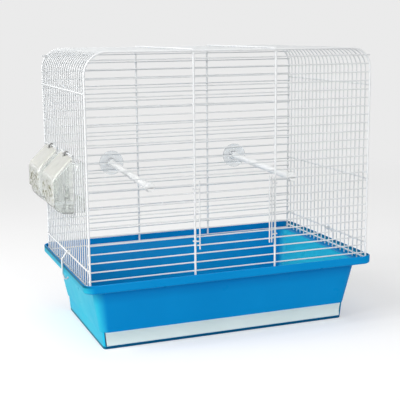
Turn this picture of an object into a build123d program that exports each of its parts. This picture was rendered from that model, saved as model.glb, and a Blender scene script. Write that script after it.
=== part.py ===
from build123d import *
import os

# A small wire bird cage on a moulded tray with a pull-out litter drawer.
# X runs along the long side, Y to the back, Z up. The origin is on the surface
# that the cage stands on, under its middle. All sizes are in millimetres.

os.makedirs("parts", exist_ok=True)

# Wire top: overall sizes, measured between wire centres
cage_width = 416
cage_depth = 256
corner_radius = 30
post_spacing = 120

# Wire thicknesses, and the gap left between wires that are welded together
frame_wire = 2.8
bar_wire = 1.8
cross_wire = 2.2
weld_gap = 0.02

# Horizontal bars of the two long sides
bar_pitch = 12
bar_count = 25
first_bar_rise = 13
top_bar_gap = 10

# Wires of the ends and the roof
end_gap_count = 21
foot_clearance = 0.3
high_cross_drop = 52
middle_cross_rise = 123
low_cross_rise = 27.5
foot_cross_rise = 5

# Tray: lip, flange, walls and drawer bay
tray_height = 101.5
lip_end_margin = 9
lip_side_margin = 8.5
lip_corner = 15
lip_height = 12
lip_edge_radius = 3
lip_top_radius = 1.1
tray_wall = 2.5
flange_end_width = 16
flange_side_width = 18
tub_top_corner = 16
tub_end_draft = 12
tub_side_draft = 13.2
tub_bottom_corner = 12
bay_height = 25
bay_end_step = 2.4
bay_side_step = 2.7
bay_draft = 2
bay_corner = 5
floor_top = 4.3
foot_height = 1.8
foot_width = 4
foot_rib = 4
cut_overrun = 2

# Litter drawer
drawer_clearance = 0.3
drawer_side_gap = 1.6
drawer_pan_height = 18
drawer_wall = 2
drawer_corner = 6
drawer_back_gap = 1.6
drawer_front_thickness = 3.5
drawer_front_proud = 1.4
drawer_groove_depth = 1.4
drawer_groove_radius = 26

# Door
door_first_bar = 3
door_bar_count = 8
door_bar_end_gap = 1.4
door_post_spacing = 108
door_second_post_gap = 3.5
door_post_overhang = 5
hinge_clearance = 0.06
hinge_wrap_degrees = 250
catch_wrap_degrees = 90

# Feeders: two alike on the left end, each over an opening that interrupts four bars
feeder_top_rise = 171.7
feeder_opening_height = 81.1
front_feeder_gap_count = 7
back_feeder_gap_count = 15
feeder_bar_count = 4
hood_wall = 2
hood_wire_gap = 0.35
hood_reach = 27.7
hood_height = 61.2
hood_top_drop = 1.6
hood_shoulder_drop = 29.1
hood_shoulder_radius = 16
hood_overlap = 6
hood_round = 5
ear_width = 5
ear_wall = 1.8
ear_slot_drop = 1.5
ear_clearance = 0.05
cup_inset = 2.7
cup_side_gap = 0.6
cup_wall = 1.8
cup_hood_gap = 0.3
cup_seat_gap = 0.3
cup_inner_reach = 16
cup_inner_height = 17
cup_nose_size = 13.5
cup_nose_bulge = 3.5
guard_wall = 1.5
guard_top_gap = 8.6
guard_bottom_gap = 0.3
guard_door_radius = 22
guard_corner = 5

# Perches
perch_gap_count = 10
perch_diameter = 10
perch_tip = 4
perch_left_back_x = -106
perch_left_front_x = -122
perch_right_back_x = 104
perch_right_front_x = 87
perch_fork_clearance = 0.1
perch_fork_extra = 1.4
perch_collar_diameter = 14
perch_collar_thickness = 2
perch_collar_setback = 3
shield_diameter = 38
shield_thickness = 1.6
shield_dish = 4
shield_hub_diameter = 16
shield_hub_length = 9
shield_bore_clearance = 0.05

# Clips that hold the wire top on the tray
clip_wire = 2.6
clip_gap_count = 9
clip_eye_clearance = 0.05
clip_lip_gap = 1
clip_hook_gap = 0.6
clip_hook_reach = 9
clip_elbow_rise = 9.5
clip_bend = 3.5

# Places that follow from these sizes
half_width = cage_width / 2
half_depth = cage_depth / 2
lip_width = cage_width + 2 * lip_end_margin
lip_depth = cage_depth + 2 * lip_side_margin
ledge_z = tray_height - lip_height + tray_wall
flange_z = tray_height - lip_height
tub_top_width = lip_width - 2 * flange_end_width
tub_top_depth = lip_depth - 2 * flange_side_width
tub_bottom_width = tub_top_width - 2 * tub_end_draft
tub_bottom_depth = tub_top_depth - 2 * tub_side_draft
bay_top_width = tub_bottom_width - 2 * bay_end_step
bay_top_depth = tub_bottom_depth - 2 * bay_side_step
bay_bottom_width = bay_top_width - 2 * bay_draft
bay_bottom_depth = bay_top_depth - 2 * bay_draft
foot_z = ledge_z + foot_clearance
first_bar_z = ledge_z + first_bar_rise
bar_heights = [first_bar_z + bar_pitch * i for i in range(bar_count)]
frame_top_z = bar_heights[-1] + top_bar_gap
post_top_z = frame_top_z - frame_wire / 2 - weld_gap
post_length = post_top_z - foot_z
bar_offset = frame_wire / 2 + bar_wire / 2 + weld_gap
front_bar_y = -half_depth + bar_offset
back_bar_y = half_depth - bar_offset
sill_z = foot_z + bar_wire / 2
end_pitch = cage_depth / end_gap_count
end_rows = [-half_depth + end_pitch * i for i in range(1, end_gap_count)]
feeder_gap_counts = (front_feeder_gap_count, back_feeder_gap_count)
feeder_rows = [
    -half_depth + end_pitch * (first + i)
    for first in feeder_gap_counts for i in range(feeder_bar_count)]
feeder_middles = [
    -half_depth + end_pitch * (first + (feeder_bar_count - 1) / 2) for first in feeder_gap_counts]
feeder_opening_width = end_pitch * (feeder_bar_count + 1)
arch_rows = [y for y in end_rows if y not in feeder_rows]
cross_offset = bar_wire / 2 + cross_wire / 2 + weld_gap
cross_x = half_width + cross_offset
cross_length = cage_depth - frame_wire - 2 * weld_gap
high_cross_z = frame_top_z - high_cross_drop
middle_cross_z = ledge_z + middle_cross_rise
low_cross_z = ledge_z + low_cross_rise
foot_cross_z = ledge_z + foot_cross_rise
feeder_top_z = ledge_z + feeder_top_rise
feeder_sill_z = feeder_top_z - feeder_opening_height
door_heights = bar_heights[door_first_bar:door_first_bar + door_bar_count]
full_heights = [z for z in bar_heights if z not in door_heights]


# Tray. A tapered tub on a slightly narrower drawer bay, with a flat flange and
# an upstanding lip round the top. The wire top stands on the flange.
with BuildPart() as base:
    with BuildSketch(Plane.XY):
        RectangleRounded(bay_bottom_width, bay_bottom_depth, bay_corner)
    with BuildSketch(Plane.XY.offset(bay_height)):
        RectangleRounded(bay_top_width, bay_top_depth, bay_corner)
    loft()
    with BuildSketch(Plane.XY.offset(bay_height)):
        RectangleRounded(tub_bottom_width, tub_bottom_depth, tub_bottom_corner)
    with BuildSketch(Plane.XY.offset(flange_z)):
        RectangleRounded(tub_top_width, tub_top_depth, tub_top_corner)
    loft()
    with BuildSketch(Plane.XY.offset(flange_z)):
        RectangleRounded(lip_width, lip_depth, lip_corner)
    extrude(amount=lip_height)
    with BuildSketch(Plane.XY.offset(ledge_z)):
        RectangleRounded(
            lip_width - 2 * tray_wall, lip_depth - 2 * tray_wall, lip_corner - tray_wall)
    extrude(amount=lip_height, mode=Mode.SUBTRACT)
    fillet(edges().group_by(Axis.Z)[-1], lip_top_radius)
    flange_outline = faces().filter_by(Plane.XY).sort_by(Axis.Z).filter_by(
        lambda f: abs(f.center().Z - flange_z) < tray_wall / 2)[0].outer_wire()
    fillet(flange_outline.edges(), lip_edge_radius)
    # tub cavity
    with BuildSketch(Plane.XY.offset(bay_height + tray_wall)):
        RectangleRounded(
            tub_bottom_width - 2 * tray_wall, tub_bottom_depth - 2 * tray_wall,
            tub_bottom_corner - tray_wall)
    with BuildSketch(Plane.XY.offset(ledge_z)):
        RectangleRounded(
            tub_top_width - 2 * tray_wall, tub_top_depth - 2 * tray_wall,
            tub_top_corner - tray_wall)
    loft(mode=Mode.SUBTRACT)
    # drawer bay cavity
    with BuildSketch(Plane.XY.offset(floor_top)):
        RectangleRounded(
            bay_bottom_width - 2 * tray_wall, bay_bottom_depth - 2 * tray_wall,
            bay_corner - tray_wall)
    with BuildSketch(Plane.XY.offset(bay_height + tray_wall)):
        RectangleRounded(
            bay_top_width - 2 * tray_wall, bay_top_depth - 2 * tray_wall,
            bay_corner - tray_wall)
    loft(mode=Mode.SUBTRACT)
    # open front of the bay
    with BuildSketch(Plane.XZ.offset(bay_bottom_depth / 2 - tray_wall - cut_overrun)):
        with BuildLine():
            Polyline(
                (-bay_bottom_width / 2 + tray_wall, floor_top),
                (bay_bottom_width / 2 - tray_wall, floor_top),
                (bay_top_width / 2 - tray_wall, bay_height),
                (-bay_top_width / 2 + tray_wall, bay_height),
                close=True)
        make_face()
    extrude(amount=2 * (tray_wall + cut_overrun), mode=Mode.SUBTRACT)
    # hollows under the floor, which leave a foot rim and a cross of two ribs
    with BuildSketch(Plane.XY):
        RectangleRounded(
            bay_bottom_width - 2 * foot_width, bay_bottom_depth - 2 * foot_width, bay_corner)
        Rectangle(bay_bottom_width, foot_rib, mode=Mode.SUBTRACT)
        Rectangle(foot_rib, bay_bottom_depth, mode=Mode.SUBTRACT)
    extrude(amount=foot_height, mode=Mode.SUBTRACT)
base.part.label = "base"
export_step(base.part, "parts/base.step")


# Litter drawer. A shallow pan behind a long front strip with a finger groove.
drawer_z = floor_top + drawer_clearance
drawer_top_z = bay_height - drawer_clearance
drawer_pan_width = bay_bottom_width - 2 * tray_wall - 2 * drawer_side_gap
drawer_front_y = bay_bottom_depth / 2 + drawer_front_proud
drawer_front_back_y = -drawer_front_y + drawer_front_thickness
drawer_back_y = bay_bottom_depth / 2 - tray_wall - drawer_back_gap
drawer_pan_depth = drawer_back_y - drawer_front_back_y
drawer_pan_y = (drawer_back_y + drawer_front_back_y) / 2
with BuildPart() as litter_drawer:
    with BuildSketch(Plane.XY.offset(drawer_z)):
        with Locations((0, drawer_pan_y)):
            RectangleRounded(drawer_pan_width, drawer_pan_depth, drawer_corner)
    extrude(amount=drawer_pan_height)
    with BuildSketch(Plane.XZ.offset(drawer_front_y - drawer_front_thickness)):
        with BuildLine():
            Polyline(
                (-bay_bottom_width / 2 + tray_wall + drawer_side_gap, drawer_z),
                (bay_bottom_width / 2 - tray_wall - drawer_side_gap, drawer_z),
                (bay_top_width / 2 - tray_wall - drawer_side_gap, drawer_top_z),
                (-bay_top_width / 2 + tray_wall + drawer_side_gap, drawer_top_z),
                close=True)
        make_face()
    extrude(amount=drawer_front_thickness)
    with BuildSketch(Plane.XY.offset(drawer_z + drawer_wall)):
        with Locations((0, drawer_pan_y)):
            RectangleRounded(
                drawer_pan_width - 2 * drawer_wall, drawer_pan_depth - 2 * drawer_wall,
                drawer_corner - drawer_wall)
    extrude(amount=bay_height, mode=Mode.SUBTRACT)
    with Locations((
            0, -drawer_front_y - drawer_groove_radius + drawer_groove_depth,
            (drawer_z + drawer_top_z) / 2)):
        Cylinder(
            drawer_groove_radius, bay_top_width, rotation=(0, 90, 0), mode=Mode.SUBTRACT)
litter_drawer.part.label = "litter_drawer"
export_step(litter_drawer.part, "parts/litter_drawer.step")


# Frame wires of the two long sides: up, round the corner, across and down.
for name, y in (("front_frame", -half_depth), ("back_frame", half_depth)):
    with BuildPart() as side_frame:
        with BuildLine(Plane.XZ.offset(-y)) as frame_path:
            FilletPolyline(
                (-half_width, foot_z), (-half_width, frame_top_z),
                (half_width, frame_top_z), (half_width, foot_z), radius=corner_radius)
        with BuildSketch(Plane(origin=frame_path.line @ 0, z_dir=frame_path.line % 0)):
            Circle(frame_wire / 2)
        sweep()
    side_frame.part.label = name
    export_step(side_frame.part, "parts/" + name + ".step")


# Horizontal bars. They run behind the frame wires, and the front ones stop at
# the posts where the door is.
door_stub_end = post_spacing / 2 - frame_wire / 2
door_stub_length = half_width - door_stub_end
door_stub_x = (half_width + door_stub_end) / 2
with BuildPart() as front_bars:
    with Locations(*[(0, front_bar_y, z) for z in full_heights]):
        Cylinder(bar_wire / 2, cage_width, rotation=(0, 90, 0))
    with Locations(*[(s * door_stub_x, front_bar_y, z) for z in door_heights for s in (-1, 1)]):
        Cylinder(bar_wire / 2, door_stub_length, rotation=(0, 90, 0))
front_bars.part.label = "front_bars"
export_step(front_bars.part, "parts/front_bars.step")

with BuildPart() as back_bars:
    with Locations(*[(0, back_bar_y, z) for z in bar_heights]):
        Cylinder(bar_wire / 2, cage_width, rotation=(0, 90, 0))
back_bars.part.label = "back_bars"
export_step(back_bars.part, "parts/back_bars.step")

for name, y in (("front_sill", front_bar_y), ("back_sill", back_bar_y)):
    with BuildPart() as sill:
        with Locations((0, y, sill_z)):
            Cylinder(bar_wire / 2, cage_width, rotation=(0, 90, 0))
    sill.part.label = name
    export_step(sill.part, "parts/" + name + ".step")


# Posts: two thicker uprights on each long side, in the plane of the frame wire.
for name, y in (("front_posts", -half_depth), ("back_posts", half_depth)):
    with BuildPart() as posts:
        with Locations(*[(s * post_spacing / 2, y, foot_z + post_length / 2) for s in (-1, 1)]):
            Cylinder(frame_wire / 2, post_length)
    posts.part.label = name
    export_step(posts.part, "parts/" + name + ".step")


# Arch wires: one wire makes a row of the left end, the roof and the right end.
with BuildPart() as arch_bar:
    with BuildLine(Plane.XZ) as arch_path:
        FilletPolyline(
            (-half_width, foot_z), (-half_width, frame_top_z),
            (half_width, frame_top_z), (half_width, foot_z), radius=corner_radius)
    with BuildSketch(Plane(origin=arch_path.line @ 0, z_dir=arch_path.line % 0)):
        Circle(bar_wire / 2)
    sweep()
with BuildPart() as arch_bars:
    with Locations(*[(0, y, 0) for y in arch_rows]):
        add(arch_bar.part)
arch_bars.part.label = "arch_bars"
export_step(arch_bars.part, "parts/arch_bars.step")


# The same wires over the feeder openings stop at the top wires, and short pieces
# of them carry on below the sills.
with BuildPart() as short_arch_bar:
    with BuildLine(Plane.XZ) as short_arch_path:
        FilletPolyline(
            (-half_width, feeder_top_z), (-half_width, frame_top_z),
            (half_width, frame_top_z), (half_width, foot_z), radius=corner_radius)
    with BuildSketch(Plane(origin=short_arch_path.line @ 0, z_dir=short_arch_path.line % 0)):
        Circle(bar_wire / 2)
    sweep()
with BuildPart() as feeder_arch_bars:
    with Locations(*[(0, y, 0) for y in feeder_rows]):
        add(short_arch_bar.part)
feeder_arch_bars.part.label = "feeder_arch_bars"
export_step(feeder_arch_bars.part, "parts/feeder_arch_bars.step")

stub_length = feeder_sill_z - foot_z
with BuildPart() as feeder_stub_bars:
    with Locations(*[(-half_width, y, foot_z + stub_length / 2) for y in feeder_rows]):
        Cylinder(bar_wire / 2, stub_length)
feeder_stub_bars.part.label = "feeder_stub_bars"
export_step(feeder_stub_bars.part, "parts/feeder_stub_bars.step")


# Cross wires lie on the outside of the arch wires and end at the frame wires.
with BuildPart() as left_cross_wires:
    with Locations(*[(-cross_x, 0, z) for z in (high_cross_z, low_cross_z, foot_cross_z)]):
        Cylinder(cross_wire / 2, cross_length, rotation=(90, 0, 0))
left_cross_wires.part.label = "left_cross_wires"
export_step(left_cross_wires.part, "parts/left_cross_wires.step")

with BuildPart() as right_cross_wires:
    with Locations(*[
            (cross_x, 0, z) for z in (high_cross_z, middle_cross_z, low_cross_z, foot_cross_z)]):
        Cylinder(cross_wire / 2, cross_length, rotation=(90, 0, 0))
right_cross_wires.part.label = "right_cross_wires"
export_step(right_cross_wires.part, "parts/right_cross_wires.step")

with BuildPart() as roof_cross_wires:
    with Locations(*[(s * post_spacing / 2, 0, frame_top_z + cross_offset) for s in (-1, 1)]):
        Cylinder(cross_wire / 2, cross_length, rotation=(90, 0, 0))
roof_cross_wires.part.label = "roof_cross_wires"
export_step(roof_cross_wires.part, "parts/roof_cross_wires.step")

feeder_wire_length = feeder_opening_width + 2 * cross_wire
with BuildPart() as feeder_opening_wires:
    with Locations(*[
            (-cross_x, y, z) for y in feeder_middles for z in (feeder_top_z, feeder_sill_z)]):
        Cylinder(cross_wire / 2, feeder_wire_length, rotation=(90, 0, 0))
feeder_opening_wires.part.label = "feeder_opening_wires"
export_step(feeder_opening_wires.part, "parts/feeder_opening_wires.step")


# Door: a welded panel of bars and posts. Its bars stand between the two front
# posts, and its loops turn on the left one.
hinge_x = -post_spacing / 2
latch_x = post_spacing / 2
loop_radius = frame_wire / 2 + hinge_clearance + bar_wire / 2
door_post_y = -half_depth - loop_radius
door_bar_y = door_post_y + bar_wire + weld_gap
door_bar_length = post_spacing - frame_wire - 2 * door_bar_end_gap
door_bottom_z = door_heights[0] - door_post_overhang
door_post_length = door_heights[-1] + door_post_overhang - door_bottom_z
door_post_z = door_bottom_z + door_post_length / 2
door_post_xs = (
    -door_post_spacing / 2, door_post_spacing / 2 - door_second_post_gap, door_post_spacing / 2)
door_loop_heights = (
    door_heights[0] + bar_pitch / 2, door_heights[-1] - bar_pitch / 2)
with BuildPart() as door_bars:
    with Locations(*[(0, door_bar_y, z) for z in door_heights]):
        Cylinder(bar_wire / 2, door_bar_length, rotation=(0, 90, 0))
door_bars.part.label = "door_bars"
export_step(door_bars.part, "parts/door_bars.step")

with BuildPart() as door_posts:
    with Locations(*[(x, door_post_y, door_post_z) for x in door_post_xs]):
        Cylinder(bar_wire / 2, door_post_length)
door_posts.part.label = "door_posts"
export_step(door_posts.part, "parts/door_posts.step")

tail_length = (post_spacing - door_post_spacing) / 2 - bar_wire / 2 - weld_gap
with BuildPart() as door_hinge_loop:
    with BuildLine(Plane.XY) as loop_path:
        Line((hinge_x + tail_length, door_post_y), (hinge_x, door_post_y))
        CenterArc((hinge_x, -half_depth), loop_radius, -90, -hinge_wrap_degrees)
    with BuildSketch(Plane(origin=loop_path.line @ 0, z_dir=loop_path.line % 0)):
        Circle(bar_wire / 2)
    sweep()
with BuildPart() as door_hinge_loops:
    with Locations(*[(0, 0, z) for z in door_loop_heights]):
        add(door_hinge_loop.part)
door_hinge_loops.part.label = "door_hinge_loops"
export_step(door_hinge_loops.part, "parts/door_hinge_loops.step")

with BuildPart() as door_catch:
    with BuildLine(Plane.XY) as catch_path:
        Line((latch_x - tail_length, door_post_y), (latch_x, door_post_y))
        CenterArc((latch_x, -half_depth), loop_radius, -90, catch_wrap_degrees)
    with BuildSketch(Plane(origin=catch_path.line @ 0, z_dir=catch_path.line % 0)):
        Circle(bar_wire / 2)
    sweep()
with BuildPart() as door_catches:
    with Locations(*[(0, 0, z) for z in door_loop_heights]):
        add(door_catch.part)
door_catches.part.label = "door_catches"
export_step(door_catches.part, "parts/door_catches.step")


# Feeder hoods: thin shells with a sloping front, rounded at their ends. Each hangs
# by one slotted ear on the top wire of its opening and closes it from outside.
hood_x = -(cross_x + cross_wire / 2 + hood_wire_gap)
hood_out_x = hood_x - hood_reach
hood_top_z = feeder_top_z - hood_top_drop
hood_bottom_z = feeder_top_z - hood_height
hood_length = feeder_opening_width + 2 * hood_overlap
ear_bore_radius = cross_wire / 2 + ear_clearance
for name, middle_y in zip(("feeder_hood", "back_feeder_hood"), feeder_middles):
    with BuildPart() as hood:
        with BuildSketch(Plane.XZ.offset(-middle_y - hood_length / 2)):
            with BuildLine():
                FilletPolyline(
                    (hood_x, hood_top_z), (hood_out_x, feeder_top_z - hood_shoulder_drop),
                    (hood_out_x, hood_bottom_z), radius=hood_shoulder_radius)
                Polyline((hood_out_x, hood_bottom_z), (hood_x, hood_bottom_z), (hood_x, hood_top_z))
            make_face()
        extrude(amount=hood_length)
        hood_round_edges = faces().filter_by(Axis.Y).edges().filter_by(
            lambda e: e.center().X < hood_x - hood_wall and e.center().Z > hood_bottom_z + hood_wall)
        fillet(hood_round_edges, hood_round)
        hood_open_faces = [
            faces().sort_by(Axis.X)[-1],
            faces().filter_by(Plane.XY).sort_by(Axis.Z)[0]]
        offset(amount=-hood_wall, openings=hood_open_faces)
        ear_point = (-cross_x, feeder_top_z)
        ear_middle = (-cross_x - ear_slot_drop, feeder_top_z - ear_slot_drop)
        with BuildSketch(Plane.XZ.offset(-middle_y - ear_width / 2)):
            SlotCenterPoint(ear_middle, ear_point, 2 * (ear_bore_radius + ear_wall))
        extrude(amount=ear_width)
        with BuildSketch(Plane.XZ.offset(-middle_y - ear_width / 2)):
            SlotCenterPoint(ear_middle, ear_point, 2 * ear_bore_radius)
        extrude(amount=ear_width, mode=Mode.SUBTRACT)
    hood.part.label = name
    export_step(hood.part, "parts/" + name + ".step")


# Feeder cups: troughs with a rounded nose outside. Each rests on the sill wire of its
# opening and reaches through it into the cage.
cup_out_x = hood_out_x + cup_inset
cup_in_x = -half_width + cup_inner_reach
cup_length = feeder_opening_width - bar_wire - 2 * cup_side_gap
cup_floor_z = feeder_sill_z + cross_wire / 2 + cup_seat_gap
cup_top_z = hood_bottom_z - cup_hood_gap
cup_inner_top_z = cup_floor_z + cup_inner_height
cup_nose_in_x = cup_out_x + cup_nose_size
cup_nose_top_z = cup_floor_z + cup_nose_size
for name, middle_y in zip(("feeder_cup", "back_feeder_cup"), feeder_middles):
    with BuildPart() as cup:
        with BuildSketch(Plane.XZ.offset(-middle_y - cup_length / 2)):
            with BuildLine():
                Polyline(
                    (cup_nose_in_x, cup_floor_z),
                    (cup_in_x, cup_floor_z),
                    (cup_in_x, cup_inner_top_z),
                    (-half_width, cup_inner_top_z),
                    (hood_x, cup_top_z),
                    (cup_out_x, cup_top_z),
                    (cup_out_x, cup_nose_top_z))
                SagittaArc(
                    (cup_out_x, cup_nose_top_z), (cup_nose_in_x, cup_floor_z), -cup_nose_bulge)
            make_face()
        extrude(amount=cup_length)
        with BuildSketch(Plane.XZ.offset(-middle_y - cup_length / 2 + cup_wall)):
            with BuildLine():
                Polyline(
                    (cup_nose_in_x, cup_floor_z + cup_wall),
                    (cup_in_x - cup_wall, cup_floor_z + cup_wall),
                    (cup_in_x - cup_wall, cup_top_z + cut_overrun),
                    (cup_out_x + cup_wall, cup_top_z + cut_overrun),
                    (cup_out_x + cup_wall, cup_nose_top_z))
                SagittaArc(
                    (cup_out_x + cup_wall, cup_nose_top_z),
                    (cup_nose_in_x, cup_floor_z + cup_wall), -cup_nose_bulge)
            make_face()
        extrude(amount=cup_length - 2 * cup_wall, mode=Mode.SUBTRACT)
    cup.part.label = name
    export_step(cup.part, "parts/" + name + ".step")


# Feeder guards: clear boxes over the inner parts of the cups, each with a round-topped
# way in for the bird.
guard_x = -half_width + bar_wire / 2 + hood_wire_gap
guard_reach = cup_in_x - guard_x
guard_bottom_z = cup_inner_top_z + guard_bottom_gap
guard_top_z = feeder_top_z - cross_wire / 2 - guard_top_gap
guard_door_spring_z = guard_top_z - guard_wall - guard_corner - guard_door_radius
for name, middle_y in zip(("feeder_guard", "back_feeder_guard"), feeder_middles):
    with BuildPart() as guard:
        with BuildSketch(Plane.XY.offset(guard_bottom_z)):
            with Locations((guard_x + guard_reach / 2, middle_y)):
                Rectangle(guard_reach, cup_length)
        extrude(amount=guard_top_z - guard_bottom_z)
        guard_round_edges = edges().filter_by(
            lambda e: e.center().X > guard_x + guard_corner and e.center().Z > guard_bottom_z + guard_wall)
        fillet(guard_round_edges, guard_corner)
        guard_open_faces = [
            faces().filter_by(Plane.YZ).sort_by(Axis.X)[0],
            faces().filter_by(Plane.XY).sort_by(Axis.Z)[0]]
        offset(amount=-guard_wall, openings=guard_open_faces)
        with BuildSketch(Plane.YZ.offset(cup_in_x - guard_wall - cut_overrun)):
            with Locations((middle_y, guard_door_spring_z)):
                Circle(guard_door_radius)
            with Locations((middle_y, (guard_door_spring_z + guard_bottom_z) / 2)):
                Rectangle(2 * guard_door_radius, guard_door_spring_z - guard_bottom_z)
        extrude(amount=guard_wall + 2 * cut_overrun, mode=Mode.SUBTRACT)
    guard.part.label = name
    export_step(guard.part, "parts/" + name + ".step")


# Perches: rods whose forked ends grip one front and one back bar, each with a
# small collar at the front and a loose dished shield at the back.
perch_z = first_bar_z + bar_pitch * perch_gap_count
for side, back_x, front_x in (
        ("left", perch_left_back_x, perch_left_front_x),
        ("right", perch_right_back_x, perch_right_front_x)):
    back_point = Vector(back_x, back_bar_y, perch_z)
    front_point = Vector(front_x, front_bar_y, perch_z)
    perch_span = (front_point - back_point).length
    perch_direction = (front_point - back_point).normalized()
    perch_start = back_point - perch_direction * perch_tip
    perch_plane = Plane(origin=perch_start, x_dir=(0, 0, 1), z_dir=perch_direction)
    perch_length = perch_span + 2 * perch_tip
    fork_depth = perch_tip + perch_fork_extra
    collar_start = perch_length - perch_tip - perch_collar_setback - perch_collar_thickness
    with BuildPart() as perch:
        with BuildSketch(perch_plane):
            Circle(perch_diameter / 2)
        extrude(amount=perch_length)
        with BuildSketch(perch_plane.offset(collar_start)):
            Circle(perch_collar_diameter / 2)
        extrude(amount=perch_collar_thickness)
        with BuildSketch(perch_plane):
            Rectangle(bar_wire + 2 * perch_fork_clearance, perch_diameter + cut_overrun)
        extrude(amount=fork_depth, mode=Mode.SUBTRACT)
        with BuildSketch(perch_plane.offset(perch_length - fork_depth)):
            Rectangle(bar_wire + 2 * perch_fork_clearance, perch_diameter + cut_overrun)
        extrude(amount=fork_depth, mode=Mode.SUBTRACT)
    perch.part.label = "perch_" + side
    export_step(perch.part, "parts/perch_" + side + ".step")

    shield_start = perch_start + perch_direction * (perch_tip + perch_collar_setback)
    shield_bore = perch_diameter / 2 + shield_bore_clearance
    shield_plane = Plane(
        origin=shield_start, x_dir=perch_direction, z_dir=perch_direction.cross(Vector(0, 0, 1)))
    with BuildPart() as shield:
        with BuildSketch(shield_plane):
            with BuildLine():
                Polyline(
                    (0, shield_bore),
                    (shield_hub_length, shield_bore),
                    (shield_hub_length, shield_hub_diameter / 2 - shield_thickness),
                    (shield_thickness, shield_hub_diameter / 2),
                    (shield_dish + shield_thickness, shield_diameter / 2),
                    (shield_dish, shield_diameter / 2),
                    (0, shield_hub_diameter / 2),
                    close=True)
            make_face()
        revolve(axis=Axis(shield_start, perch_direction))
    shield.part.label = "perch_shield_" + side
    export_step(shield.part, "parts/perch_shield_" + side + ".step")


# Clips: a bent wire lever turns on the low cross wire of each end, reaches over
# the lip and hooks under the flange.
clip_axis_z = low_cross_z
clip_y = -half_depth + end_pitch * clip_gap_count + end_pitch / 2
clip_eye_radius = cross_wire / 2 + clip_eye_clearance + clip_wire / 2
clip_leg_x = -(lip_width / 2 + clip_lip_gap + clip_wire / 2)
clip_hook_z = flange_z - clip_hook_gap - clip_wire / 2
with BuildPart() as clip_left:
    with Locations(Location((-cross_x, clip_y, clip_axis_z), (90, 0, 0))):
        Torus(clip_eye_radius, clip_wire / 2)
    with BuildLine(Plane.XZ.offset(-clip_y)) as clip_path:
        FilletPolyline(
            (-cross_x - clip_eye_radius, clip_axis_z),
            (clip_leg_x, clip_axis_z - clip_elbow_rise),
            (clip_leg_x, clip_hook_z),
            (clip_leg_x + clip_hook_reach, clip_hook_z),
            radius=clip_bend)
    with BuildSketch(Plane(origin=clip_path.line @ 0, z_dir=clip_path.line % 0)):
        Circle(clip_wire / 2)
    sweep()
clip_left.part.label = "clip_left"
export_step(clip_left.part, "parts/clip_left.step")

with BuildPart() as clip_right:
    mirror(clip_left.part, about=Plane.YZ)
clip_right.part.label = "clip_right"
export_step(clip_right.part, "parts/clip_right.step")
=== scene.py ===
from math import radians, tan

import bpy
from mathutils import Euler, Matrix, Vector


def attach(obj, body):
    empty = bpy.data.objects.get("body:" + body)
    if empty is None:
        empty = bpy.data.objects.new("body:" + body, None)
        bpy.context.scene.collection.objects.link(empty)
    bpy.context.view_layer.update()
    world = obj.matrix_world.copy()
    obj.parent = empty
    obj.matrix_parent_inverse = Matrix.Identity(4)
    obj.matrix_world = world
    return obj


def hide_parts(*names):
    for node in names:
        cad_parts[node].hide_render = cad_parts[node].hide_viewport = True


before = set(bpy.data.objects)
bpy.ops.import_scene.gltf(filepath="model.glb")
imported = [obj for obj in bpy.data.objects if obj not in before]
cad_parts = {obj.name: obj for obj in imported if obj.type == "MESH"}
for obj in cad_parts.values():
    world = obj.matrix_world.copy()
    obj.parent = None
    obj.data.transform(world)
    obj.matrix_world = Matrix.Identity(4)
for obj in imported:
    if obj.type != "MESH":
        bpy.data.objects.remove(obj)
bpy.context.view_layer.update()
bpy.ops.object.select_all(action="DESELECT")


# Camera. It stands in front of the cage and to its left, a little above it, and looks
# down along the long side. Place, lens and the small roll come from the photograph's
# vanishing lines.
camera_place = Vector((-0.4877, -1.2539, 0.4302))
camera_heading = radians(-21.13)
camera_tilt = radians(90 - 10.64)
camera_roll = radians(-0.49)
film_width_mm = 36
lens_mm = 81.73
farthest_seen = 20
bpy.ops.object.camera_add(location=camera_place)
camera = bpy.context.object
camera.name = "studio_camera"
aim = Euler((camera_tilt, 0, camera_heading)).to_matrix()
camera.rotation_euler = (aim @ Matrix.Rotation(camera_roll, 3, "Z")).to_euler()
camera.data.sensor_width = film_width_mm
camera.data.lens = lens_mm
camera.data.clip_end = farthest_seen
bpy.context.scene.camera = camera
bpy.context.scene.view_settings.view_transform = "Standard"


# Studio. Soft lamps stand on the left, low in front, overhead and, small, at the upper
# left. A sweep that is white round the cage and light grey behind it shows to the camera
# and in reflections, so that white wires stand out, while the fill light stays weak.
surround_light = 0.34
backdrop_shade = 0.83
floor_albedo = 0.68
near_glow = 0.38
sweep_starts = 0.35
sweep_ends = 1.7
floor_size = 30
cage_middle = (0, 0, 0.2)
hood_slopes = (-0.22, -0.05, 0.24)


def ramp(nodes, links, value, low, high, start=0, end=1):
    """Goes from start to end while the value goes from low to high, and stays between."""
    step = nodes.new("ShaderNodeMapRange")
    step.inputs["From Min"].default_value = low
    step.inputs["From Max"].default_value = high
    step.inputs["To Min"].default_value = start
    step.inputs["To Max"].default_value = end
    links.new(value, step.inputs["Value"])
    return step.outputs["Result"]


def maths(nodes, links, operation, first, second):
    """Works on two sockets, or on a socket and a number."""
    step = nodes.new("ShaderNodeMath")
    step.operation = operation
    links.new(first, step.inputs[0])
    if isinstance(second, (int, float)):
        step.inputs[1].default_value = second
    else:
        links.new(second, step.inputs[1])
    return step.outputs["Value"]


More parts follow.
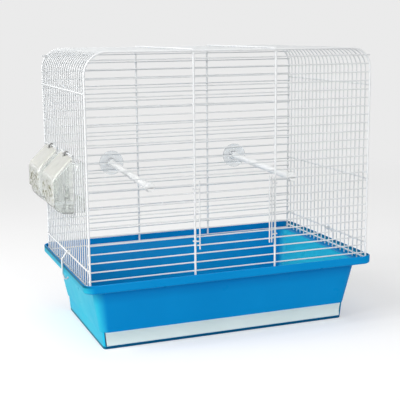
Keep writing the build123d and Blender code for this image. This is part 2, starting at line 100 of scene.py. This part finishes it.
world = bpy.data.worlds.new("studio_surround")
bpy.context.scene.world = world
world.use_nodes = True
nodes, links = world.node_tree.nodes, world.node_tree.links
nodes.clear()
rays = nodes.new("ShaderNodeLightPath")
seen_or_mirrored = maths(
    nodes, links, "MAXIMUM", rays.outputs["Is Camera Ray"], rays.outputs["Is Glossy Ray"])
shown_pale = maths(
    nodes, links, "MAXIMUM", seen_or_mirrored, rays.outputs["Is Transmission Ray"])
soft_fill = nodes.new("ShaderNodeBackground")
soft_fill.inputs["Strength"].default_value = surround_light
pale_surround = nodes.new("ShaderNodeBackground")
pale_surround.inputs["Strength"].default_value = backdrop_shade
for background in (soft_fill, pale_surround):
    background.inputs["Color"].default_value = (1, 1, 1, 1)
choose = nodes.new("ShaderNodeMixShader")
links.new(shown_pale, choose.inputs["Fac"])
links.new(soft_fill.outputs[0], choose.inputs[1])
links.new(pale_surround.outputs[0], choose.inputs[2])
links.new(choose.outputs[0], nodes.new("ShaderNodeOutputWorld").inputs["Surface"])

bpy.ops.mesh.primitive_plane_add(size=floor_size)
floor = bpy.context.object
floor.name = "studio_floor"
paper = bpy.data.materials.new("pale_paper")
paper.use_nodes = True
nodes, links = paper.node_tree.nodes, paper.node_tree.links
nodes.clear()
rays = nodes.new("ShaderNodeLightPath")
seen = maths(
    nodes, links, "MAXIMUM", rays.outputs["Is Camera Ray"], rays.outputs["Is Transmission Ray"])
distance = nodes.new("ShaderNodeVectorMath")
distance.operation = "LENGTH"
links.new(nodes.new("ShaderNodeTexCoord").outputs["Object"], distance.inputs[0])
away = distance.outputs["Value"]
matt = nodes.new("ShaderNodeBsdfDiffuse")
links.new(
    ramp(nodes, links, away, sweep_starts, sweep_ends, floor_albedo, 0), matt.inputs["Color"])
glow = nodes.new("ShaderNodeEmission")
glow_level = ramp(nodes, links, away, sweep_starts, sweep_ends, near_glow, backdrop_shade)
links.new(maths(nodes, links, "MULTIPLY", seen, glow_level), glow.inputs["Strength"])
both = nodes.new("ShaderNodeAddShader")
links.new(matt.outputs[0], both.inputs[0])
links.new(glow.outputs[0], both.inputs[1])
links.new(both.outputs[0], nodes.new("ShaderNodeOutputMaterial").inputs["Surface"])
floor.data.materials.append(paper)


def softbox(name, place, target, size, watts):
    bpy.ops.object.light_add(type="AREA", location=place)
    lamp = bpy.context.object
    lamp.name = name
    lamp.data.shape = "SQUARE"
    lamp.data.size = size
    lamp.data.energy = watts
    lamp.rotation_euler = (Vector(target) - Vector(place)).to_track_quat("-Z", "Y").to_euler()


softbox("left_softbox", (-2.2, -0.3, 1.0), cage_middle, size=1.4, watts=43)
softbox("front_softbox", (0.4, -2.6, 0.75), cage_middle, size=1.6, watts=33)
softbox("top_softbox", (0, 0.2, 2.4), cage_middle, size=1.6, watts=8)
softbox("upper_left_softbox", (-1.4, -0.15, 1.52), hood_slopes, size=0.5, watts=7)


# Tray. One injection moulding in bright blue plastic with a satin gloss: a tapered tub
# with a flange and a raised lip, over a bay for the litter drawer. Painted light pales the
# faces that look left, and painted shade darkens the front wall under its flange and the foot
# all round.
lip_foot = 0.0895
lip_fade = 0.006
lip_edge = 0.0975
lip_edge_fade = 0.0015
# Painted shade on the front wall under the flange.
under_lip_shade_foot = 0.067
under_lip_shade_head = 0.0892
under_lip_shade_edge = 0.001
under_lip_shade_back = -0.101
under_lip_shade_front = -0.103
# Painted shade along the foot of the tray.
foot_shade_head = 0.0046
foot_shade_full = 0.0034
moulded_grain = 0.00008


def new_material(name):
    material = bpy.data.materials.new(name)
    material.use_nodes = True
    return material


def open_material(material):
    """Gives what a finish is made with: nodes, links, the shader and new coordinates."""
    nodes, links = material.node_tree.nodes, material.node_tree.links
    return nodes, links, nodes["Principled BSDF"], nodes.new("ShaderNodeTexCoord")


def cloud(nodes, links, place, scale, detail=2):
    """A cloudy pattern that stays on the piece."""
    texture = nodes.new("ShaderNodeTexNoise")
    texture.inputs["Scale"].default_value = scale
    texture.inputs["Detail"].default_value = detail
    links.new(place.outputs["Object"], texture.inputs["Vector"])
    return texture.outputs["Fac"]


def two_tones(nodes, links, value, low, low_colour, high, high_colour):
    """Goes from one colour to the other while the value goes from low to high."""
    tone = nodes.new("ShaderNodeValToRGB")
    first, last = tone.color_ramp.elements
    first.position = low
    first.color = (*low_colour, 1)
    last.position = high
    last.color = (*high_colour, 1)
    links.new(value, tone.inputs["Fac"])
    return tone.outputs["Color"]


def emboss(nodes, links, shader, height, strength, depth):
    bump = nodes.new("ShaderNodeBump")
    bump.inputs["Strength"].default_value = strength
    bump.inputs["Distance"].default_value = depth
    links.new(height, bump.inputs["Height"])
    links.new(bump.outputs["Normal"], shader.inputs["Normal"])


def moulded_plastic(name, colour, worn_colour, roughness, specular, grain_depth):
    """A moulded surface: slow drifts of tone, uneven gloss and a very fine grain."""
    material = new_material(name)
    nodes, links, shader, place = open_material(material)
    shader.inputs["Specular IOR Level"].default_value = specular
    drift = cloud(nodes, links, place, scale=9, detail=4)
    links.new(
        two_tones(nodes, links, drift, 0.35, colour, 0.7, worn_colour),
        shader.inputs["Base Color"])
    patches = cloud(nodes, links, place, scale=40, detail=3)
    links.new(
        ramp(nodes, links, patches, 0.3, 0.7, roughness * 0.85, roughness * 1.2),
        shader.inputs["Roughness"])
    grain = cloud(nodes, links, place, scale=900)
    emboss(nodes, links, shader, grain, strength=0.25, depth=grain_depth)
    return material


def blend(nodes, links, amount, under, over):
    """Lays one colour over another. Each is a socket or a plain colour."""
    step = nodes.new("ShaderNodeMix")
    step.data_type = "RGBA"
    links.new(amount, step.inputs["Factor"])
    for socket, colour in ((step.inputs["A"], under), (step.inputs["B"], over)):
        if isinstance(colour, tuple):
            socket.default_value = (*colour, 1)
        else:
            links.new(colour, socket)
    return step.outputs["Result"]


def lay_over(nodes, links, shader, amount, coat):
    """Lays a coat over the colour that the shader has so far."""
    colour_so_far = shader.inputs["Base Color"].links[0].from_socket
    links.new(blend(nodes, links, amount, colour_so_far, coat), shader.inputs["Base Color"])


def axes(nodes, links, vector):
    parts = nodes.new("ShaderNodeSeparateXYZ")
    links.new(vector, parts.inputs["Vector"])
    return parts.outputs


def paint_light_on_left_faces(material, wall_colour, lip_colour, edge_colour):
    """Painted light: the walls that look left are paler, in patches, and less so on the right
    half. On the lip above them the painted light is a duller teal, and a dark line runs
    along its edge under the wires."""
    nodes, links, shader, place = open_material(material)
    facing = axes(nodes, links, place.outputs["Normal"])
    spot = axes(nodes, links, place.outputs["Object"])
    patches = cloud(nodes, links, place, scale=14, detail=5)
    amount = maths(
        nodes, links, "MULTIPLY", ramp(nodes, links, facing["X"], -0.1, -0.85),
        ramp(nodes, links, patches, 0.3, 0.6, 0.82, 1))
    amount = maths(
        nodes, links, "MULTIPLY", amount, ramp(nodes, links, spot["X"], -0.1, 0.1, 1, 0.82))
    on_lip = ramp(nodes, links, spot["Z"], lip_foot, lip_foot + lip_fade)
    on_edge = ramp(nodes, links, spot["Z"], lip_edge, lip_edge + lip_edge_fade)
    painted_left_tone = blend(nodes, links, on_lip, wall_colour, lip_colour)
    painted_left_tone = blend(nodes, links, on_edge, painted_left_tone, edge_colour)
    lay_over(nodes, links, shader, amount, painted_left_tone)


def paint_shade_under_lip(material, colour, most):
    """Painted shade: the front wall grows darker towards the flange that juts out over it."""
    nodes, links, shader, place = open_material(material)
    spot = axes(nodes, links, place.outputs["Object"])
    amount = maths(
        nodes, links, "MULTIPLY",
        ramp(nodes, links, spot["Z"], under_lip_shade_foot, under_lip_shade_head, 0, most),
        ramp(nodes, links, spot["Z"], under_lip_shade_head + under_lip_shade_edge, under_lip_shade_head))
    amount = maths(
        nodes, links, "MULTIPLY", amount,
        ramp(nodes, links, spot["Y"], under_lip_shade_back, under_lip_shade_front))
    lay_over(nodes, links, shader, amount, colour)


def shade_by_height(material, colour, plain_height, full_height, most):
    """Gives all beyond full_height another tone, which fades in from plain_height."""
    nodes, links, shader, place = open_material(material)
    spot = axes(nodes, links, place.outputs["Object"])
    amount = ramp(nodes, links, spot["Z"], plain_height, full_height, 0, most)
    lay_over(nodes, links, shader, amount, colour)


def finish_node(node, material):
    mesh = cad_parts[node].data
    mesh.materials.clear()
    mesh.materials.append(material)


tray_blue = moulded_plastic(
    "tray_blue_plastic", (0.0, 0.245, 0.60), (0.001, 0.27, 0.64), roughness=0.32,
    specular=0.06, grain_depth=moulded_grain)
# Painted light on the faces that look left, a duller teal on the lip, a dark line along its
# edge.
paint_light_on_left_faces(
    tray_blue, wall_colour=(0.03, 0.50, 0.66), lip_colour=(0.018, 0.37, 0.51),
    edge_colour=(0.0, 0.10, 0.16))
# Painted shade on the front wall under the flange.
paint_shade_under_lip(tray_blue, (0.0, 0.125, 0.42), most=0.6)
# Painted shade along the foot of the tray.
shade_by_height(tray_blue, (0.0, 0.03, 0.07), foot_shade_head, foot_shade_full, most=0.75)
finish_node("base", tray_blue)


# Litter drawer. A pale moulding with a long front strip and a shallow finger groove. It
# slides in the tray's bay, and a painted highlight makes its top edge lighter than the rest.
drawer_highlight_foot = 0.0224
drawer_highlight_head = 0.0234
drawer_plastic = moulded_plastic(
    "drawer_pale_plastic", (0.64, 0.76, 0.76), (0.70, 0.81, 0.81), roughness=0.42,
    specular=0.3, grain_depth=moulded_grain)
# Painted highlight along the top edge of the strip.
shade_by_height(
    drawer_plastic, (0.78, 0.92, 0.96), drawer_highlight_foot, drawer_highlight_head, most=0.8)
finish_node("litter_drawer", drawer_plastic)


# Wire top. Drawn steel wire, welded where it crosses and then powder coated white, which
# leaves a soft gloss and a slight orange peel. The coat is whitest on the thicker wires.
def powder_coat(name, thin, thick):
    """White paint over wire, a little greyer where it is thin, with a fine orange peel."""
    material = new_material(name)
    nodes, links, shader, place = open_material(material)
    shader.inputs["IOR"].default_value = 1.5
    shader.inputs["Roughness"].default_value = 0.33
    cast = cloud(nodes, links, place, scale=25)
    links.new(two_tones(nodes, links, cast, 0.3, thin, 0.7, thick), shader.inputs["Base Color"])
    peel = cloud(nodes, links, place, scale=700, detail=1)
    emboss(nodes, links, shader, peel, strength=0.3, depth=0.0001)
    return material


white_coat = powder_coat("white_powder_coat", (0.71, 0.73, 0.74), (0.77, 0.785, 0.79))
thick_coat = powder_coat("thick_powder_coat", (0.79, 0.81, 0.82), (0.84, 0.85, 0.855))
for node in (
        "front_bars", "back_bars", "front_sill", "back_sill", "arch_bars", "feeder_arch_bars",
        "feeder_stub_bars", "feeder_opening_wires"):
    finish_node(node, white_coat)
for node in (
        "front_frame", "back_frame", "front_posts", "back_posts", "left_cross_wires",
        "right_cross_wires", "roof_cross_wires"):
    finish_node(node, thick_coat)


# Welds of the wire top. Where two wires cross, resistance welding leaves a small pressed
# nugget in the corner between them, which the powder coat rounds over.
frame_side = 0.208
frame_front = 0.128
frame_wire = 0.0028
bar_wire = 0.0018
first_bar_rise = 0.105
bar_pitch = 0.012
bar_count = 25
bars_below_bend = 23
post_side = 0.060
end_gaps = 21
end_wires = end_gaps - 1
end_pitch = 2 * frame_front / end_gaps
weld_front = frame_front - frame_wire / 2
weld_side = frame_side + bar_wire / 2
end_weld_reach = frame_front - end_pitch
roof_top = 0.403
high_cross = 0.351
middle_cross = 0.215
low_cross = 0.1195
foot_cross = 0.097
gaps_before_feeder = 6
gaps_between_feeders = 8
feeder_cut_wires = 4
feeder_pitch = gaps_between_feeders * end_pitch
feeder_top_wire = 0.2637
feeder_sill_wire = 0.1826
corner_weld_inset = 0.0012
corner_weld_lift = 0.0004
bar_weld_size = (0.0019, 0.0018)
cross_weld_size = (0.0016, 0.0014)
corner_weld_size = (0.0019, 0.0022)


def model_in_place():
    """Moves a new piece's place and turn into its mesh, which leaves its origin at zero."""
    bpy.ops.object.transform_apply(location=True, rotation=True, scale=True)
    return bpy.context.object


def nugget(name, place, turn, size):
    """A pressed lens of weld metal of a radius and a thickness: a short round pad, its
    faces drawn in and domed."""
    radius, thickness = size
    rim = thickness / 2
    bpy.ops.mesh.primitive_cylinder_add(
        vertices=10, radius=radius, depth=rim, location=place, rotation=turn)
    piece = model_in_place()
    piece.name = name
    bpy.ops.object.mode_set(mode="EDIT")
    bpy.ops.mesh.select_mode(type="FACE")
    bpy.ops.mesh.select_all(action="DESELECT")
    bpy.ops.object.mode_set(mode="OBJECT")
    for face in piece.data.polygons:
        face.select = len(face.vertices) > 4
    bpy.ops.object.mode_set(mode="EDIT")
    bpy.ops.mesh.inset(thickness=radius * 0.4)
    bpy.ops.transform.shrink_fatten(value=(thickness - rim) / 2)
    bpy.ops.object.mode_set(mode="OBJECT")
    bpy.ops.object.shade_smooth()
    return piece


def repeat(piece, count, step):
    bpy.context.view_layer.objects.active = piece
    bpy.ops.object.modifier_add(type="ARRAY")
    row = piece.modifiers[-1]
    row.count = count
    row.use_relative_offset = False
    row.use_constant_offset = True
    row.constant_offset_displace = step
    bpy.ops.object.modifier_apply(modifier=row.name)


def coat_and_ride(piece, body, coat=white_coat):
    piece.data.materials.append(coat)
    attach(piece, body)
    piece.select_set(False)


flat_on_front = (radians(90), 0, 0)
flat_on_end = (0, radians(90), 0)
flat_on_roof = (0, 0, 0)
for name, side, count in (
        ("frame_welds", frame_side, bars_below_bend), ("post_welds", post_side, bar_count)):
    welds = nugget(name, (-side, -weld_front, first_bar_rise), flat_on_front, bar_weld_size)
    repeat(welds, count, (0, 0, bar_pitch))
    repeat(welds, 2, (2 * side, 0, 0))
    repeat(welds, 2, (0, 2 * weld_front, 0))
    coat_and_ride(welds, "cage")

for name, side, height in (
        ("left_high_welds", -1, high_cross), ("left_low_welds", -1, low_cross),
        ("left_foot_welds", -1, foot_cross), ("right_high_welds", 1, high_cross),
        ("right_middle_welds", 1, middle_cross), ("right_low_welds", 1, low_cross),
        ("right_foot_welds", 1, foot_cross)):
    welds = nugget(
        name, (side * weld_side, -end_weld_reach, height), flat_on_end, cross_weld_size)
    repeat(welds, end_wires, (0, end_pitch, 0))
    coat_and_ride(welds, "cage")

for name, height in (
        ("feeder_top_welds", feeder_top_wire), ("feeder_sill_welds", feeder_sill_wire)):
    welds = nugget(
        name, (-weld_side, -frame_front + gaps_before_feeder * end_pitch, height),
        flat_on_end, cross_weld_size)
    repeat(welds, feeder_cut_wires + 2, (0, end_pitch, 0))
    repeat(welds, 2, (0, feeder_pitch, 0))
    coat_and_ride(welds, "cage")

for name, side, heights in (
        ("left_end_welds", -1, (high_cross, low_cross, foot_cross)),
        ("right_end_welds", 1, (high_cross, middle_cross, low_cross, foot_cross))):
    for height in heights:
        welds = nugget(
            name + "_" + str(round(height * 1000)),
            (side * (weld_side + corner_weld_lift), -frame_front + corner_weld_inset, height),
            flat_on_end, corner_weld_size)
        repeat(welds, 2, (0, 2 * (frame_front - corner_weld_inset), 0))
        coat_and_ride(welds, "cage")

roof_welds = nugget(
    "roof_welds", (-post_side, -end_weld_reach, roof_top + bar_wire / 2), flat_on_roof,
    cross_weld_size)
repeat(roof_welds, end_wires, (0, end_pitch, 0))
repeat(roof_welds, 2, (2 * post_side, 0, 0))
coat_and_ride(roof_welds, "cage")


# Tips of the bars. The wires are cut to length before they are welded, and the coat rounds
# their cut ends over: at the corners, beside the door and round the feeder openings.
sill_rise = 0.0932
bar_front = 0.12568
door_gap_side = 0.0586
bars_below_door = 3
door_low_bar = first_bar_rise + bars_below_door * bar_pitch
door_bar_count = 8
cross_wire = 0.0022
cross_wire_side = 0.21002
feeder_middle = -0.02438
feeder_wire_reach = 0.032675


def wire_tip(name, place, turn, radius):
    """A domed end: the outer half of a ball, with a short skirt that grips the wire."""
    ball_radius = radius * 1.04
    skirt = radius * 0.6
    bpy.ops.mesh.primitive_uv_sphere_add(
        segments=12, ring_count=6, radius=ball_radius, location=(0, 0, 0))
    bpy.ops.object.mode_set(mode="EDIT")
    bpy.ops.mesh.bisect(
        plane_co=(0, 0, 0), plane_no=(0, 0, 1), use_fill=True, clear_inner=True)
    bpy.ops.mesh.extrude_region_move(TRANSFORM_OT_translate={"value": (0, 0, -skirt)})
    bpy.ops.object.mode_set(mode="OBJECT")
    piece = bpy.context.object
    piece.name = name
    piece.rotation_euler = turn
    piece.location = place
    model_in_place()
    bpy.ops.object.shade_smooth()
    return piece


for end, side in (("left", -1), ("right", 1)):
    for wire, rise, count in (("bar", first_bar_rise, bar_count), ("sill", sill_rise, 1)):
        tips = wire_tip(
            end + "_" + wire + "_tips", (side * frame_side, -bar_front, rise),
            (0, side * radians(90), 0), bar_wire / 2)
        repeat(tips, count, (0, 0, bar_pitch))
        repeat(tips, 2, (0, 2 * bar_front, 0))
        coat_and_ride(tips, "cage")
for name, side in (("door_gap_left_tips", -1), ("door_gap_right_tips", 1)):
    tips = wire_tip(
        name, (side * door_gap_side, -bar_front, door_low_bar), (0, -side * radians(90), 0),
        bar_wire / 2)
    repeat(tips, door_bar_count, (0, 0, bar_pitch))
    coat_and_ride(tips, "cage")
for name, height, turn in (
        ("feeder_arch_tips", feeder_top_wire, radians(180)),
        ("feeder_stub_tips", feeder_sill_wire, 0)):
    tips = wire_tip(
        name, (-frame_side, -frame_front + (gaps_before_feeder + 1) * end_pitch, height),
        (turn, 0, 0), bar_wire / 2)
    repeat(tips, feeder_cut_wires, (0, end_pitch, 0))
    repeat(tips, 2, (0, feeder_pitch, 0))
    coat_and_ride(tips, "cage")
for name, side in (("feeder_wire_near_tips", -1), ("feeder_wire_far_tips", 1)):
    tips = wire_tip(
        name, (-cross_wire_side, feeder_middle + side * feeder_wire_reach, feeder_sill_wire),
        (-side * radians(90), 0, 0), cross_wire / 2)
    repeat(tips, 2, (0, 0, feeder_top_wire - feeder_sill_wire))
    repeat(tips, 2, (0, feeder_pitch, 0))
    coat_and_ride(tips, "cage")


# Door. The same coated wire, bent into two loops that turn on the left post and two open
# catches that spring over the right one.
door_plane = 0.13036
door_bar_plane = 0.12854
door_bar_reach = 0.0572
door_post_foot = 0.136
door_post_top = 0.230
door_post_places = (("left", -0.054), ("inner", 0.0505), ("right", 0.054))
door_weld_size = (0.0015, 0.0014)
catch_side = 0.06236
catch_gaps = 6
for node in ("door_bars", "door_posts", "door_hinge_loops", "door_catches"):
    finish_node(node, white_coat)
for post, post_x in door_post_places:
    for end, height, turn in (
            ("foot", door_post_foot, radians(180)), ("top", door_post_top, 0)):
        tip = wire_tip(
            "door_" + post + "_post_" + end, (post_x, -door_plane, height), (turn, 0, 0),
            bar_wire / 2)
        coat_and_ride(tip, "door")
    welds = nugget(
        "door_" + post + "_welds", (post_x, -(door_plane + door_bar_plane) / 2, door_low_bar),
        flat_on_front, door_weld_size)
    repeat(welds, door_bar_count, (0, 0, bar_pitch))
    coat_and_ride(welds, "door")
for name, side in (("door_left_bar_tips", -1), ("door_right_bar_tips", 1)):
    tips = wire_tip(
        name, (side * door_bar_reach, -door_bar_plane, door_low_bar),
        (0, side * radians(90), 0), bar_wire / 2)
    repeat(tips, door_bar_count, (0, 0, bar_pitch))
    coat_and_ride(tips, "door")
catch_tips = wire_tip(
    "door_catch_tips", (catch_side, -frame_front, door_low_bar + bar_pitch / 2),
    (radians(-90), 0, 0), bar_wire / 2)
repeat(catch_tips, 2, (0, 0, catch_gaps * bar_pitch))
coat_and_ride(catch_tips, "door")


# Feeders. Thin clear mouldings, two sets alike: a hood over a cup outside the end wall,
# and a guard inside. Dust has clouded the slopes, olive flecks sit low in front, and a
# painted shadow greys the ears where the hood hangs on its wire.
back_feeder_middle = 0.07314
ear_side = -0.2108
ear_rise = 0.2630
ear_reach = 0.0052
ear_core = 0.0044
# Painted shadow on the ears.
ear_shadow_grey = (0.27, 0.27, 0.265)
fleck_olive = (0.27, 0.265, 0.14)
fleck_foot_fade = 0.006
fleck_head_fade = 0.012
fleck_cover = 0.8
dust_cover = 0.6


def clear_plastic(name, colour, clearness, roughness):
    """A thin clear wall, a little hazier in some places than in others."""
    material = new_material(name)
    nodes, links, shader, place = open_material(material)
    shader.inputs["Base Color"].default_value = (*colour, 1)
    shader.inputs["IOR"].default_value = 1.45
    shader.inputs["Transmission Weight"].default_value = clearness
    haze = cloud(nodes, links, place, scale=30)
    links.new(
        ramp(nodes, links, haze, 0, 1, roughness * 0.7, roughness * 1.3),
        shader.inputs["Roughness"])
    return material


def soil_and_shade_ears(material, dust_colour, scuffing, fleck_foot, fleck_head, ear_middles):
    """Cloudy dust on what faces up, fine scuffs on what faces out and olive flecks there
    between two heights, and a painted shadow on the ears where the hood hangs on its wire."""
    nodes, links, shader, place = open_material(material)
    clean_colour = tuple(shader.inputs["Base Color"].default_value)[:3]
    clearness = shader.inputs["Transmission Weight"].default_value
    facing = axes(nodes, links, place.outputs["Normal"])
    spot = axes(nodes, links, place.outputs["Object"])
    film = cloud(nodes, links, place, scale=60, detail=4)
    dust = maths(
        nodes, links, "MULTIPLY", ramp(nodes, links, facing["Z"], 0.1, 0.6),
        ramp(nodes, links, film, 0.3, 0.6, 0.7, 1))
    outward = ramp(nodes, links, facing["X"], -0.75, -0.98)
    # Olive flecks between two heights on the faces that look out.
    fleck_pattern = cloud(nodes, links, place, scale=240, detail=3)
    band = maths(
        nodes, links, "MULTIPLY",
        ramp(nodes, links, spot["Z"], fleck_foot, fleck_foot + fleck_foot_fade),
        ramp(nodes, links, spot["Z"], fleck_head, fleck_head - fleck_head_fade))
    flecks = maths(
        nodes, links, "MULTIPLY", ramp(nodes, links, fleck_pattern, 0.505, 0.60),
        maths(nodes, links, "MULTIPLY", band, outward))
    colour = blend(nodes, links, dust, clean_colour, dust_colour)
    colour = blend(nodes, links, flecks, colour, fleck_olive)
    cover = maths(
        nodes, links, "MAXIMUM", maths(nodes, links, "MULTIPLY", dust, dust_cover),
        maths(nodes, links, "MULTIPLY", flecks, fleck_cover))
    cover = maths(
        nodes, links, "MAXIMUM", cover, maths(nodes, links, "MULTIPLY", outward, scuffing))
    # Painted shadow: round each ear the hood turns grey and opaque.
    for middle in ear_middles:
        ear = nodes.new("ShaderNodeVectorMath")
        ear.operation = "DISTANCE"
        links.new(place.outputs["Object"], ear.inputs[0])
        ear.inputs[1].default_value = (ear_side, middle, ear_rise)
        ear_shadow = ramp(nodes, links, ear.outputs["Value"], ear_reach, ear_core)
        colour = blend(nodes, links, ear_shadow, colour, ear_shadow_grey)
        cover = maths(nodes, links, "MAXIMUM", cover, ear_shadow)
    links.new(colour, shader.inputs["Base Color"])
    links.new(
        ramp(nodes, links, cover, 0, 1, clearness, 0), shader.inputs["Transmission Weight"])


hood_clear = clear_plastic(
    "hood_clear_plastic", (0.945, 0.96, 0.94), clearness=0.94, roughness=0.10)
soil_and_shade_ears(
    hood_clear, (0.62, 0.62, 0.57), scuffing=0.5, fleck_foot=0.196, fleck_head=0.234,
    ear_middles=(feeder_middle, back_feeder_middle))
cup_clear = clear_plastic(
    "cup_clear_plastic", (0.97, 0.985, 0.975), clearness=0.95, roughness=0.08)
soil_and_shade_ears(
    cup_clear, (0.76, 0.78, 0.76), scuffing=0.5, fleck_foot=0.188, fleck_head=0.212,
    ear_middles=())
guard_clear = clear_plastic(
    "guard_clear_plastic", (0.96, 0.98, 0.97), clearness=0.96, roughness=0.05)
for feeder in ("feeder", "back_feeder"):
    finish_node(feeder + "_hood", hood_clear)
    finish_node(feeder + "_cup", cup_clear)
    finish_node(feeder + "_guard", guard_clear)


# Perches. White moulded rods whose forked tips grip a bar of the front and one of the
# back, each with a loose clear shield at the back.
perch_white = moulded_plastic(
    "perch_white_plastic", (0.84, 0.85, 0.85), (0.88, 0.89, 0.89), roughness=0.35,
    specular=0.4, grain_depth=0.00005)
shield_clear = clear_plastic(
    "shield_clear_plastic", (0.90, 0.93, 0.95), clearness=0.85, roughness=0.22)
for side in ("left", "right"):
    finish_node("perch_" + side, perch_white)
    finish_node("perch_shield_" + side, shield_clear)


# Clips. Wire levers on both ends, dipped in a whiter coat. Each turns on the low cross
# wire, reaches over the lip and hooks up under the flange, which holds the wire top down.
clip_wire = 0.0013
clip_depth = -0.01219
clip_eye_radius = 0.00245
clip_corners = (
    (-cross_wire_side - clip_eye_radius, low_cross), (-0.2193, 0.110), (-0.2193, 0.0905),
    (-0.2156, 0.0796), (-0.2083, 0.0852))
clip_bends = (0.0035, 0.005, 0.0024)
clip_coat = powder_coat("clip_dip_coat", (0.80, 0.82, 0.83), (0.85, 0.86, 0.86))


def bent_wire(name, depth, corners, bends, radius):
    """Draws a wire in one upright plane: straight runs from corner to corner, each corner
    rounded as on a bending machine, and a domed end."""
    points = [Vector((x, depth, z)) for x, z in corners]
    headings = [(after - before).normalized() for before, after in zip(points, points[1:])]
    bpy.ops.mesh.primitive_circle_add(
        vertices=12, radius=radius, fill_type="NGON", location=points[0],
        rotation=headings[0].to_track_quat("Z", "Y").to_euler())
    wire = model_in_place()
    wire.name = name
    bpy.ops.object.mode_set(mode="EDIT")
    bpy.ops.mesh.select_mode(type="FACE")
    bpy.ops.mesh.select_all(action="SELECT")
    spent = 0
    for number, heading in enumerate(headings):
        length = (points[number + 1] - points[number]).length
        cut = 0
        if number < len(bends):
            turn = heading.angle(headings[number + 1])
            cut = bends[number] * tan(turn / 2)
        bpy.ops.mesh.extrude_region_move(
            TRANSFORM_OT_translate={"value": heading * (length - spent - cut)})
        if number < len(bends):
            axis = heading.cross(headings[number + 1]).normalized()
            centre = points[number + 1] - heading * cut + axis.cross(heading) * bends[number]
            bpy.ops.mesh.spin(steps=7, angle=-turn, center=centre, axis=axis)
        spent = cut
    bpy.ops.mesh.inset(thickness=radius * 0.45)
    bpy.ops.transform.translate(value=headings[-1] * radius * 0.4)
    bpy.ops.mesh.select_all(action="SELECT")
    bpy.ops.mesh.remove_doubles(threshold=0.00001)
    bpy.ops.mesh.normals_make_consistent(inside=False)
    bpy.ops.object.mode_set(mode="OBJECT")
    return wire


for side, body, node in ((1, "left_clip", "clip_left"), (-1, "right_clip", "clip_right")):
    lever = bent_wire(
        body + "_lever", clip_depth, [(side * x, z) for x, z in clip_corners], clip_bends,
        clip_wire)
    bpy.ops.mesh.primitive_torus_add(
        major_segments=24, minor_segments=12, major_radius=clip_eye_radius,
        minor_radius=clip_wire, location=(-side * cross_wire_side, clip_depth, low_cross),
        rotation=(radians(90), 0, 0))
    model_in_place()
    lever.select_set(True)
    bpy.context.view_layer.objects.active = lever
    bpy.ops.object.join()
    bpy.ops.object.shade_smooth_by_angle(angle=radians(45))
    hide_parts(node)
    coat_and_ride(lever, body, clip_coat)
